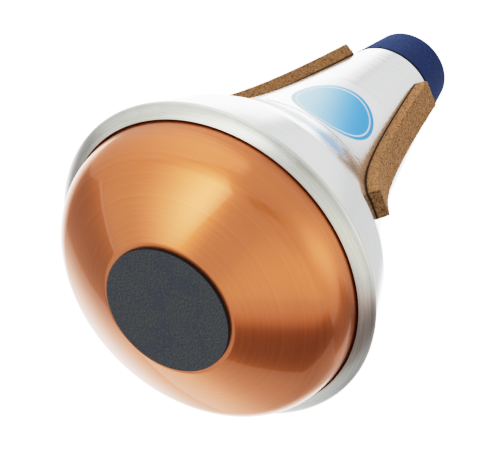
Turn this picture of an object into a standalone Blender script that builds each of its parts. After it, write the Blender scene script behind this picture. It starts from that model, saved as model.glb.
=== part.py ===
"""Straight mute for a trumpet, standing on its padded end with the open tip up.

A spun aluminium body and a spun copper end meet rim to rim, and a turned ring holds the
copper rim against the body. A felt collar lines the open tip, and three cork strips seat
the mute in the bell of the instrument. Lengths are in metres, and +Z runs along the axis
from the underside of the pad to the tip.
"""

import math

import bpy

MM = 0.001

# Overall sizes
LENGTH = 159.8 * MM
RIM_RADIUS = 54.45 * MM

# Clearance between pieces that meet
FIT_GAP = 0.3 * MM

# Pad in the middle of the copper end
PAD_RADIUS = 21.0 * MM
PAD_THICKNESS = 1.2 * MM
PAD_EDGE = 0.25 * MM

# Copper end
COPPER_WALL = 0.6 * MM
COPPER_DEPTH = 27.9 * MM
SEAT_MARGIN = 2.5 * MM
FLANK_RADIUS = 103.0 * MM
CORNER_RADIUS = 15.0 * MM
SKIRT_LENGTH = 5.3 * MM
SKIRT_FILLET = 0.5 * MM

# Turned ring round the copper rim
RING_HEIGHT = 4.2 * MM
RING_FACE_WIDTH = 4.45 * MM
RING_FACE_CROWN = 0.45 * MM
RING_LIP_FILLET = 0.25 * MM
RING_BACK_WALL = 1.55 * MM
RING_BACK_EDGE = 0.8 * MM
RING_BACK_TAPER = 0.25 * MM
RING_GROOVE = 0.5 * MM

# Spun body, with the tapers as growth of the radius for each unit of height
BODY_WALL = 0.8 * MM
BODY_RIM_STEP = 0.85 * MM
SHOULDER_HEIGHT = 18.0 * MM
SHOULDER_INSET = 6.4 * MM
SHOULDER_FILLET = 6.0 * MM
SHOULDER_TAPER = 0.511
NECK_RADIUS = 16.5 * MM
NECK_TAPER = 0.183

# Shares of the flare's height that hold the taper of the neck and of the shoulder
NECK_PULL = 0.855
SHOULDER_PULL = 0.2

# Felt collar in the open tip
COLLAR_LENGTH = 17.3 * MM
COLLAR_STEP = 0.7 * MM
TIP_RADIUS = 13.6 * MM
TIP_ROUNDING = 0.6 * MM
TIP_BORE_RADIUS = 10.2 * MM
SPIGOT_LENGTH = 8.0 * MM
SPIGOT_WALL = 3.2 * MM

# Cork strips: direction round the axis in degrees, and distance of the top below the neck
CORK_WIDTH = 9.0 * MM
CORK_THICKNESS = 3.6 * MM
CORK_LENGTH = 85.0 * MM
CORK_EDGE = 0.35 * MM
CORK_PLACES = ((30.0, 6.4 * MM), (150.0, 4.2 * MM), (270.0, 2.5 * MM))

# Film label on the flare, beside the first cork strip, with its span in degrees
LABEL_BELOW_NECK = 34.8 * MM
LABEL_HEIGHT = 41.8 * MM
LABEL_SPAN = 61.0
LABEL_THICKNESS = 0.25 * MM
LABEL_CLEARANCE = 1.0 * MM

# Heights and radii that follow from the sizes above
FLANGE_HEIGHT = PAD_THICKNESS + COPPER_DEPTH
RIM_HEIGHT = FLANGE_HEIGHT + COPPER_WALL
BODY_SEAT = RIM_HEIGHT + FIT_GAP
COLLAR_SEAT = LENGTH - COLLAR_LENGTH
NECK_HEIGHT = COLLAR_SEAT - FIT_GAP
LIP_RADIUS = RIM_RADIUS - RING_FACE_WIDTH
RECESS_RADIUS = RIM_RADIUS - RING_BACK_WALL
COPPER_RADIUS = LIP_RADIUS - RING_GROOVE
BODY_RIM_RADIUS = RIM_RADIUS - BODY_RIM_STEP
SHOULDER_RADIUS = BODY_RIM_RADIUS - SHOULDER_INSET

# Steps of the spun surfaces and of the curved stretches of their outlines
SPIN_STEPS = 60
FLARE_STEPS = 15
CORNER_STEPS = 6
FLANK_STEPS = 5
CROWN_STEPS = 3
FILLET_STEPS = 3
MERGE_DISTANCE = 0.05 * MM
SHARP_ANGLE = math.radians(32)


def arc(centre, radius, start, end, steps):
    """Points of an arc in the (radius, height) plane, between two angles in radians."""
    points = []
    for step in range(steps + 1):
        angle = start + (end - start) * step / steps
        points.append((centre[0] + radius * math.cos(angle), centre[1] + radius * math.sin(angle)))
    return points


def bezier(corners, steps):
    """Points of a cubic curve through the first and last of four (radius, height) corners."""
    points = []
    for step in range(steps + 1):
        t = step / steps
        weights = ((1 - t) ** 3, 3 * t * (1 - t) ** 2, 3 * t ** 2 * (1 - t), t ** 3)
        radius = sum(weight * corner[0] for weight, corner in zip(weights, corners))
        height = sum(weight * corner[1] for weight, corner in zip(weights, corners))
        points.append((radius, height))
    return points


def bowed(start, end, crown, steps):
    """Points of an arc from start to end that stands proud of its chord by the crown."""
    half_chord = math.dist(start, end) / 2
    radius = (half_chord ** 2 + crown ** 2) / (2 * crown)
    along = math.atan2(end[1] - start[1], end[0] - start[0])
    centre_radius = (start[0] + end[0]) / 2 + (radius - crown) * math.sin(along)
    centre_height = (start[1] + end[1]) / 2 - (radius - crown) * math.cos(along)
    facing = along + math.pi / 2
    spread = math.asin(half_chord / radius)
    return arc((centre_radius, centre_height), radius, facing + spread, facing - spread, steps)


def rounded(before, corner, after, radius, steps):
    """Points of the fillet at a corner, tangent to the edges from before and to after."""
    to_before = math.atan2(before[1] - corner[1], before[0] - corner[0])
    to_after = math.atan2(after[1] - corner[1], after[0] - corner[0])
    opening = (to_after - to_before + math.pi) % (2 * math.pi) - math.pi
    middle = to_before + opening / 2
    reach = radius / math.sin(abs(opening) / 2)
    centre = (corner[0] + reach * math.cos(middle), corner[1] + reach * math.sin(middle))
    turn = math.copysign(math.pi - abs(opening), opening)
    start = middle + math.pi + turn / 2
    return arc(centre, radius, start, start - turn, steps)


def distances_along(outline):
    """Distance of each point of an outline from its first one."""
    distances = [0.0]
    for first, second in zip(outline, outline[1:]):
        distances.append(distances[-1] + math.dist(first, second))
    return distances


def stretch(outline, start, length):
    """Part of an outline that begins at a distance from its first point."""
    distances = distances_along(outline)

    def point_at(distance):
        last = len(outline) - 2
        index = sum(1 for passed in distances[1:] if passed <= distance)
        index = min(index, last)
        share = (distance - distances[index]) / (distances[index + 1] - distances[index])
        first, second = outline[index], outline[index + 1]
        return (first[0] + share * (second[0] - first[0]), first[1] + share * (second[1] - first[1]))

    end = start + length
    between = [point for point, passed in zip(outline, distances) if start < passed < end]
    return [point_at(start)] + between + [point_at(end)]


def offset(outline, distance):
    """Outline moved outwards by a distance, with its corners mitred."""
    normals = []
    for first, second in zip(outline, outline[1:]):
        span = math.dist(first, second)
        normals.append(((first[1] - second[1]) / span, (second[0] - first[0]) / span))
    moved = []
    for point, before, after in zip(outline, normals[:1] + normals, normals + normals[-1:]):
        share = distance / (1 + before[0] * after[0] + before[1] * after[1])
        moved.append((point[0] + share * (before[0] + after[0]), point[1] + share * (before[1] + after[1])))
    return moved


def turned(name, outline, closed=False, span=2 * math.pi, steps=SPIN_STEPS):
    """Object that spins an outline of (radius, height) points about the vertical axis."""
    edges = [(index, index + 1) for index in range(len(outline) - 1)]
    if closed:
        edges.append((len(outline) - 1, 0))
    mesh = bpy.data.meshes.new(name)
    mesh.from_pydata([(radius, 0, height) for radius, height in outline], edges, [])
    obj = bpy.data.objects.new(name, mesh)
    bpy.context.collection.objects.link(obj)
    spin = obj.modifiers.new("Spin", "SCREW")
    spin.angle = span
    spin.steps = steps
    spin.render_steps = steps
    spin.use_merge_vertices = True
    spin.merge_threshold = MERGE_DISTANCE
    return obj


def extruded(name, outline, width):
    """Object that extrudes a closed outline of (radius, height) points to both sides."""
    curve = bpy.data.curves.new(name, "CURVE")
    curve.dimensions = "2D"
    curve.fill_mode = "BOTH"
    curve.extrude = width / 2
    spline = curve.splines.new("POLY")
    spline.points.add(len(outline) - 1)
    for point, (radius, height) in zip(spline.points, outline):
        point.co = (radius, height, 0, 1)
    spline.use_cyclic_u = True
    obj = bpy.data.objects.new(name, curve)
    bpy.context.collection.objects.link(obj)
    return obj


def thicken(obj, wall):
    """Give an open surface a wall on its inner side."""
    solidify = obj.modifiers.new("Wall", "SOLIDIFY")
    solidify.thickness = wall
    solidify.offset = -1
    solidify.use_even_offset = True


def soften_edges(obj, width, segments):
    """Round the sharp edges of an object."""
    bevel = obj.modifiers.new("Edges", "BEVEL")
    bevel.width = width
    bevel.segments = segments
    bevel.limit_method = "ANGLE"
    bevel.angle_limit = SHARP_ANGLE


def body_outline():
    """Outer side of the body, from the neck down the flare and the shoulder to the rim."""
    neck = (NECK_RADIUS, NECK_HEIGHT)
    shoulder = (SHOULDER_RADIUS, BODY_SEAT + SHOULDER_HEIGHT)
    rim = (BODY_RIM_RADIUS, BODY_SEAT)
    neck_hold = NECK_PULL * (neck[1] - shoulder[1])
    shoulder_hold = SHOULDER_PULL * (neck[1] - shoulder[1])
    neck_handle = (neck[0] + NECK_TAPER * neck_hold, neck[1] - neck_hold)
    shoulder_handle = (shoulder[0] - SHOULDER_TAPER * shoulder_hold, shoulder[1] + shoulder_hold)
    flare = bezier((neck, neck_handle, shoulder_handle, shoulder), FLARE_STEPS)
    crease = rounded(shoulder_handle, shoulder, rim, SHOULDER_FILLET, FILLET_STEPS)
    return flare[:-1] + crease + [rim]


def flank_angle(seat_edge, corner_centre):
    """Angle below the horizontal where the flank of the copper end runs into its corner."""
    across = corner_centre[0] - seat_edge[0]
    up = corner_centre[1] - seat_edge[1]
    reach = math.hypot(across, up)
    spacing = FLANK_RADIUS - CORNER_RADIUS
    along_normal = (reach ** 2 + spacing ** 2 - FLANK_RADIUS ** 2) / (2 * spacing)
    return math.acos(along_normal / reach) - math.atan2(up, across)


def copper_outline():
    """Outer side of the copper end, from the flange down the skirt and the flank to the axis."""
    flange_edge = (RECESS_RADIUS - FIT_GAP, FLANGE_HEIGHT)
    flange_corner = (COPPER_RADIUS, FLANGE_HEIGHT)
    corner_centre = (COPPER_RADIUS - CORNER_RADIUS, FLANGE_HEIGHT - SKIRT_LENGTH)
    skirt_foot = (COPPER_RADIUS, corner_centre[1])
    seat_edge = (PAD_RADIUS + SEAT_MARGIN, PAD_THICKNESS)
    angle = flank_angle(seat_edge, corner_centre)
    spacing = FLANK_RADIUS - CORNER_RADIUS
    flank_centre = (corner_centre[0] - spacing * math.cos(angle), corner_centre[1] + spacing * math.sin(angle))
    seat_angle = math.atan2(seat_edge[1] - flank_centre[1], seat_edge[0] - flank_centre[0])
    fillet = rounded(flange_edge, flange_corner, skirt_foot, SKIRT_FILLET, FILLET_STEPS)
    corner = arc(corner_centre, CORNER_RADIUS, 0, -angle, CORNER_STEPS)
    flank = arc(flank_centre, FLANK_RADIUS, -angle, seat_angle, FLANK_STEPS)
    return [flange_edge] + fillet + corner + flank[1:] + [(0, PAD_THICKNESS)]


def body_shell():
    """Spun body, with an inward flange that the copper rim lies against."""
    flange_end = (COPPER_RADIUS - COPPER_WALL, BODY_SEAT)
    body = turned("body_shell", body_outline() + [flange_end])
    thicken(body, BODY_WALL)
    return body


def copper_end():
    """Spun copper dish, with a flat seat for the pad and a flange round its rim."""
    copper = turned("copper_end", copper_outline())
    thicken(copper, COPPER_WALL)
    return copper


def rim_ring():
    """Turned ring, with a crowned face from its lip to its widest edge and a flange recess."""
    floor = FLANGE_HEIGHT - FIT_GAP
    widest = (RIM_RADIUS, RIM_HEIGHT - RING_BACK_EDGE)
    lip = (LIP_RADIUS, RIM_HEIGHT - RING_HEIGHT)
    bore_end = (LIP_RADIUS, floor)
    face = bowed(widest, lip, RING_FACE_CROWN, CROWN_STEPS)
    outline = [(RECESS_RADIUS, RIM_HEIGHT), (RIM_RADIUS - RING_BACK_TAPER, RIM_HEIGHT)]
    outline += face[:-1] + rounded(face[-2], lip, bore_end, RING_LIP_FILLET, FILLET_STEPS)
    outline += [bore_end, (RECESS_RADIUS, floor)]
    return turned("rim_ring", outline, closed=True)


def end_pad():
    """Round pad on the seat of the copper end, which the mute stands on."""
    bpy.ops.mesh.primitive_cylinder_add(
        vertices=SPIN_STEPS, radius=PAD_RADIUS, depth=PAD_THICKNESS, location=(0, 0, PAD_THICKNESS / 2))
    pad = bpy.context.object
    pad.name = "end_pad"
    soften_edges(pad, PAD_EDGE, 2)
    return pad


def tip_collar():
    """Felt collar: a tapered nose on the neck, a spigot inside the neck and a tapered bore."""
    spigot_end = COLLAR_SEAT - SPIGOT_LENGTH
    neck_bore = NECK_RADIUS - BODY_WALL * math.hypot(1, NECK_TAPER)
    spigot_radius = neck_bore - FIT_GAP
    nose_foot = (NECK_RADIUS + COLLAR_STEP, COLLAR_SEAT)
    nose_edge = (TIP_RADIUS, LENGTH)
    bore_edge = (TIP_BORE_RADIUS, LENGTH)
    bore_foot = (spigot_radius - SPIGOT_WALL, spigot_end)
    outline = rounded(bore_foot, bore_edge, nose_edge, TIP_ROUNDING, FILLET_STEPS)
    outline += rounded(bore_edge, nose_edge, nose_foot, TIP_ROUNDING, FILLET_STEPS)
    outline += [nose_foot, (spigot_radius, COLLAR_SEAT), (spigot_radius, spigot_end), bore_foot]
    return turned("tip_collar", outline, closed=True)


def cork_strip(number, direction, below_neck):
    """Cork strip, flat across, that follows the flare of the body."""
    course = stretch(body_outline(), below_neck, CORK_LENGTH)
    inner_side = offset(course, FIT_GAP)
    outer_side = offset(course, FIT_GAP + CORK_THICKNESS)
    strip = extruded(f"cork_strip_{number}", outer_side + inner_side[::-1], CORK_WIDTH)
    strip.rotation_euler = (math.pi / 2, 0, math.radians(direction))
    weld = strip.modifiers.new("Weld", "WELD")
    weld.merge_threshold = MERGE_DISTANCE
    soften_edges(strip, CORK_EDGE, 1)
    return strip


def label_film():
    """Film label that follows the flare, with one side next to the first cork strip."""
    course = stretch(body_outline(), LABEL_BELOW_NECK, LABEL_HEIGHT)
    outline = offset(course, FIT_GAP + LABEL_THICKNESS)
    span = math.radians(LABEL_SPAN)
    cork_half = math.asin((CORK_WIDTH / 2 + LABEL_CLEARANCE) / outline[0][0])
    label = turned("label_film", outline, span=span, steps=round(LABEL_SPAN * SPIN_STEPS / 360))
    label.rotation_euler = (0, 0, math.radians(CORK_PLACES[0][0]) - cork_half - span)
    thicken(label, LABEL_THICKNESS)
    return label


def finish(obj, colour, roughness, metallic):
    """Give an object its own material."""
    material = bpy.data.materials.new(obj.name)
    material.use_nodes = True
    surface = material.node_tree.nodes["Principled BSDF"]
    surface.inputs["Base Color"].default_value = (*colour, 1)
    surface.inputs["Roughness"].default_value = roughness
    surface.inputs["Metallic"].default_value = metallic
    obj.data.materials.append(material)


def settle(obj):
    """Turn the modifiers of an object into its mesh, shaded smooth between sharp edges."""
    evaluated = obj.evaluated_get(bpy.context.evaluated_depsgraph_get())
    mesh = bpy.data.meshes.new_from_object(evaluated)
    mesh.shade_smooth()
    mesh.set_sharp_from_angle(angle=SHARP_ANGLE)
    solid = bpy.data.objects.new(obj.name, mesh)
    name = obj.name
    solid.matrix_world = obj.matrix_world.copy()
    for collection in obj.users_collection:
        collection.objects.link(solid)
    bpy.data.objects.remove(obj)
    solid.name = name
    return solid


def clear_scene():
    """Remove every object of the scene."""
    for obj in list(bpy.data.objects):
        bpy.data.objects.remove(obj)


def main():
    """Build the mute, each piece as its own object on one axis."""
    clear_scene()
    mute = bpy.data.collections.new("straight_mute")
    bpy.context.scene.collection.children.link(mute)
    layer = bpy.context.view_layer.layer_collection.children[mute.name]
    bpy.context.view_layer.active_layer_collection = layer

    axis = bpy.data.objects.new("mute_axis", None)
    mute.objects.link(axis)

    finish(body_shell(), (0.80, 0.81, 0.82), 0.2, 1)
    finish(copper_end(), (0.78, 0.42, 0.24), 0.28, 1)
    finish(rim_ring(), (0.66, 0.67, 0.67), 0.35, 1)
    finish(end_pad(), (0.06, 0.065, 0.075), 0.85, 0)
    finish(tip_collar(), (0.02, 0.05, 0.2), 0.9, 0)
    finish(label_film(), (0.2, 0.5, 0.85), 0.35, 0)
    for number, (direction, below_neck) in enumerate(CORK_PLACES, start=1):
        finish(cork_strip(number, direction, below_neck), (0.48, 0.28, 0.13), 0.8, 0)

    bpy.context.view_layer.update()
    for obj in [piece for piece in mute.objects if piece.type != "EMPTY"]:
        settle(obj).parent = axis


main()
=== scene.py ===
"""Looks of a straight mute for a trumpet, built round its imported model.

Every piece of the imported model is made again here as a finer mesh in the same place: the
spun, turned and felt pieces from outlines that are swept round the axis, the cork strips
cut to the flare, and the label as a thin film on it. The cards and the key light stay where
they are when another camera looks. Lengths are in metres, and +Z runs along the axis from
the underside of the pad to the open tip.
"""

import bisect
import logging
import math
from contextlib import contextmanager
from dataclasses import dataclass
from enum import Enum
from typing import Callable, Iterable, Iterator, Sequence, Union

import bpy
from bpy.types import Material, NodeSocket, Object, World
from mathutils import Matrix, Vector


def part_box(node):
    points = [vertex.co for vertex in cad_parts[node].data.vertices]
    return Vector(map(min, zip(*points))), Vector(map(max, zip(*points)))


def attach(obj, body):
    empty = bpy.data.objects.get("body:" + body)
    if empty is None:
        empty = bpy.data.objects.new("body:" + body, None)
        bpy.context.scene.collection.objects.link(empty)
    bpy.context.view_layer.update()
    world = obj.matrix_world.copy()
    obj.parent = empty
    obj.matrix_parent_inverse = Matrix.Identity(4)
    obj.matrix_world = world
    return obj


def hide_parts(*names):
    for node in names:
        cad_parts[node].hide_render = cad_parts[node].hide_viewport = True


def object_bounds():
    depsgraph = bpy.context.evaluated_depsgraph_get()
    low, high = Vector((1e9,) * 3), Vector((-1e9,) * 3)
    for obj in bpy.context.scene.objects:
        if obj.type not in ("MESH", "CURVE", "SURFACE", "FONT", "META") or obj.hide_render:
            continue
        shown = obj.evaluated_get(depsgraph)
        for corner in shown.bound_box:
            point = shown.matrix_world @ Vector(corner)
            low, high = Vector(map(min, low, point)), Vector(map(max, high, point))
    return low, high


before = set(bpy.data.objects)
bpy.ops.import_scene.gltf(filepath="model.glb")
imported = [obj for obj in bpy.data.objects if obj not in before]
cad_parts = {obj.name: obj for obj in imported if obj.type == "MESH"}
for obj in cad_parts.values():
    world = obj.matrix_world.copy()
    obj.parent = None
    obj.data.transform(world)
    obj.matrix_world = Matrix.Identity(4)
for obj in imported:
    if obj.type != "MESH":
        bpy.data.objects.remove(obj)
PACKED_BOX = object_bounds()

MM = 0.001
FULL_TURN = 2 * math.pi
SMOOTH_ANGLE = math.radians(30)
MERGE_DISTANCE = 0.002 * MM
ROUND_STEPS = 256

Point = tuple[float, float]
Colour = tuple[float, float, float]
Number = Union["Link", float]

log = logging.getLogger("mute")


class Outline:
    """Line of (radius, height) points in the half-plane that is swept round the axis."""

    def __init__(self, points: Iterable[Point] = ()) -> None:
        """Start an outline.

        Args:
            points: First points of the outline.
        """
        self.points: list[Point] = list(points)

    def __add__(self, other: "Outline") -> "Outline":
        """Join two outlines end to end."""
        return Outline(self.points + other.points)

    def backwards(self) -> "Outline":
        """Return the outline from its last point to its first."""
        return Outline(self.points[::-1])

    @classmethod
    def arc(cls, centre: Point, radius: float, start: float, end: float, steps: int) -> "Outline":
        """Draw an arc between two angles.

        Args:
            centre: Centre of the arc.
            radius: Radius of the arc.
            start: Angle of its first point, in radians.
            end: Angle of its last point, in radians.
            steps: Number of segments.

        Returns:
            The arc, with both ends.
        """
        angles = (start + (end - start) * step / steps for step in range(steps + 1))
        return cls((centre[0] + radius * math.cos(a), centre[1] + radius * math.sin(a)) for a in angles)

    @classmethod
    def bezier(cls, corners: Sequence[Point], steps: int) -> "Outline":
        """Draw a cubic curve.

        Args:
            corners: First end, two handles and last end.
            steps: Number of segments.

        Returns:
            The curve, with both ends.
        """
        points = []
        for step in range(steps + 1):
            t = step / steps
            weights = ((1 - t) ** 3, 3 * t * (1 - t) ** 2, 3 * t ** 2 * (1 - t), t ** 3)
            points.append(tuple(sum(w * corner[i] for w, corner in zip(weights, corners)) for i in (0, 1)))
        return cls(points)

    @classmethod
    def bowed(cls, start: Point, end: Point, crown: float, steps: int) -> "Outline":
        """Draw an arc that stands proud of its chord.

        Args:
            start: First end.
            end: Last end.
            crown: Height of the arc over its chord.
            steps: Number of segments.

        Returns:
            The arc, with both ends.
        """
        half_chord = math.dist(start, end) / 2
        radius = (half_chord ** 2 + crown ** 2) / (2 * crown)
        along = math.atan2(end[1] - start[1], end[0] - start[0])
        centre = (
            (start[0] + end[0]) / 2 + (radius - crown) * math.sin(along),
            (start[1] + end[1]) / 2 - (radius - crown) * math.cos(along),
        )
        facing = along + math.pi / 2
        spread = math.asin(half_chord / radius)
        return cls.arc(centre, radius, facing + spread, facing - spread, steps)

    @classmethod
    def fillet(cls, before: Point, corner: Point, after: Point, radius: float, steps: int) -> "Outline":
        """Round a corner.

        Args:
            before: Point on the edge that comes to the corner.
            corner: The sharp corner.
            after: Point on the edge that leaves the corner.
            radius: Radius of the fillet.
            steps: Number of segments.

        Returns:
            The fillet, with both ends.
        """
        to_before = math.atan2(before[1] - corner[1], before[0] - corner[0])
        to_after = math.atan2(after[1] - corner[1], after[0] - corner[0])
        opening = (to_after - to_before + math.pi) % FULL_TURN - math.pi
        middle = to_before + opening / 2
        reach = radius / math.sin(abs(opening) / 2)
        centre = (corner[0] + reach * math.cos(middle), corner[1] + reach * math.sin(middle))
        turn = math.copysign(math.pi - abs(opening), opening)
        start = middle + math.pi + turn / 2
        return cls.arc(centre, radius, start, start - turn, steps)

    def offset(self, distance: float) -> "Outline":
        """Move the outline sideways.

        Args:
            distance: How far it moves, outwards where it is positive.

        Returns:
            The moved outline, with its corners mitred.
        """
        normals = []
        for first, second in zip(self.points, self.points[1:]):
            span = math.dist(first, second)
            normals.append(((first[1] - second[1]) / span, (second[0] - first[0]) / span))
        moved = []
        for point, before, after in zip(self.points, normals[:1] + normals, normals + normals[-1:]):
            share = distance / (1 + before[0] * after[0] + before[1] * after[1])
            moved.append(tuple(point[i] + share * (before[i] + after[i]) for i in (0, 1)))
        return Outline(moved)

    def at(self, distance: float) -> Point:
        """Find a point along the outline.

        Args:
            distance: Distance along the outline from its first point.

        Returns:
            The point there.
        """
        for first, second in zip(self.points, self.points[1:]):
            span = math.dist(first, second)
            if distance <= span:
                share = distance / span
                return first[0] + share * (second[0] - first[0]), first[1] + share * (second[1] - first[1])
            distance -= span
        return self.points[-1]

    def stations(self, start: float, length: float, steps: int) -> "Outline":
        """Take evenly spaced points along part of the outline.

        Args:
            start: Distance of the first one from the outline's first point.
            length: Distance along the outline to the last one.
            steps: Number of segments.

        Returns:
            The part of the outline through those points.
        """
        return Outline(self.at(start + length * step / steps) for step in range(steps + 1))


class Bench:
    """Operators that every piece is shaped with."""

    @staticmethod
    def deselect() -> None:
        """Leave every object deselected."""
        bpy.ops.object.select_all(action="DESELECT")

    @staticmethod
    def only(piece: Object) -> None:
        """Select one object alone and make it the active one.

        Args:
            piece: The object.
        """
        Bench.deselect()
        piece.select_set(True)
        bpy.context.view_layer.objects.active = piece

    @staticmethod
    def new(name: str, primitive: Callable[..., object], **where: object) -> Object:
        """Add a primitive mesh, selected alone.

        Args:
            name: Name of the mesh.
            primitive: Operator that adds it.
            where: Size and place, as the operator takes them.

        Returns:
            The mesh.
        """
        Bench.deselect()
        primitive(**where)
        mesh = bpy.context.object
        mesh.name = name
        return mesh

    @staticmethod
    @contextmanager
    def editing(kind: str) -> Iterator[None]:
        """Stay in edit mode, and select by VERT, EDGE or FACE there.

        Args:
            kind: What is selected.

        Yields:
            Nothing. Edit mode ends with the block.
        """
        bpy.ops.object.mode_set(mode="EDIT")
        bpy.ops.mesh.select_mode(type=kind)
        yield
        bpy.ops.object.mode_set(mode="OBJECT")

    @staticmethod
    def settle() -> None:
        """Make the place, turn and size of the active piece part of its mesh."""
        bpy.ops.object.transform_apply(location=True, rotation=True, scale=True)

    @staticmethod
    def sweep(name: str, outline: Outline, closed: bool) -> Object:
        """Sweep an outline round the axis, ring by ring.

        Args:
            name: Name of the piece.
            outline: Line of (radius, height) points.
            closed: True joins the last ring to the first; False closes each end with a face.

        Returns:
            The closed solid.
        """
        (radius, height), rest = outline.points[0], outline.points[1:]
        circle = bpy.ops.mesh.primitive_circle_add
        piece = Bench.new(name, circle, vertices=ROUND_STEPS, radius=radius, location=(0, 0, height))
        Bench.settle()
        with Bench.editing("EDGE"):
            bpy.ops.mesh.select_all(action="SELECT")
            for new_radius, new_height in rest:
                bpy.ops.mesh.extrude_edges_move(TRANSFORM_OT_translate={"value": (0, 0, new_height - height)})
                share = new_radius / radius
                bpy.ops.transform.resize(value=(share, share, 1), center_override=(0, 0, new_height))
                radius, height = new_radius, new_height
            bpy.ops.mesh.select_all(action="DESELECT")
            bpy.ops.mesh.select_non_manifold()
            if closed:
                bpy.ops.mesh.bridge_edge_loops()
            else:
                bpy.ops.mesh.fill_holes(sides=0)
            bpy.ops.mesh.select_all(action="SELECT")
            bpy.ops.mesh.remove_doubles(threshold=MERGE_DISTANCE)
            bpy.ops.mesh.normals_make_consistent(inside=False)
        return piece

    @staticmethod
    def finish(piece: Object, settings: Sequence[tuple[str, dict[str, object]]]) -> None:
        """Add modifiers to a piece and apply them in turn.

        Args:
            piece: The piece.
            settings: Type of each modifier, with the values of its properties.
        """
        Bench.only(piece)
        for kind, values in settings:
            modifier = piece.modifiers.new(kind.title(), kind)
            for name, value in values.items():
                setattr(modifier, name, value)
            bpy.ops.object.modifier_apply(modifier=modifier.name)

    @staticmethod
    def smooth(piece: Object) -> None:
        """Shade a piece smooth, apart from its sharp edges."""
        Bench.only(piece)
        bpy.ops.object.shade_smooth_by_angle(angle=SMOOTH_ANGLE)


class Link:
    """Output of a node, on which arithmetic adds Math nodes."""

    def __init__(self, graph: "Graph", socket: NodeSocket) -> None:
        """Hold an output of a graph's node."""
        self.graph = graph
        self.socket = socket

    def _math(self, operation: str, first: Number, second: Number) -> "Link":
        """Add a Math node on two values."""
        return self.graph.add("ShaderNodeMath", {"operation": operation}, {0: first, 1: second})

    def __add__(self, other: Number) -> "Link":
        """Add a value."""
        return self._math("ADD", self, other)

    __radd__ = __add__

    def __sub__(self, other: Number) -> "Link":
        """Take a value away."""
        return self._math("SUBTRACT", self, other)

    def __rsub__(self, other: Number) -> "Link":
        """Take this away from a value."""
        return self._math("SUBTRACT", other, self)

    def __mul__(self, other: Number) -> "Link":
        """Multiply by a value."""
        return self._math("MULTIPLY", self, other)

    __rmul__ = __mul__

    def __truediv__(self, other: Number) -> "Link":
        """Divide by a value."""
        return self._math("DIVIDE", self, other)

    def __pow__(self, other: Number) -> "Link":
        """Raise to a power."""
        return self._math("POWER", self, other)

    def between(self, low: float, high: float) -> "Link":
        """Rise smoothly from 0 at one value to 1 at another."""
        values = {"Value": self, "From Min": low, "From Max": high}
        return self.graph.add("ShaderNodeMapRange", {"interpolation_type": "SMOOTHSTEP"}, values)


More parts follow.
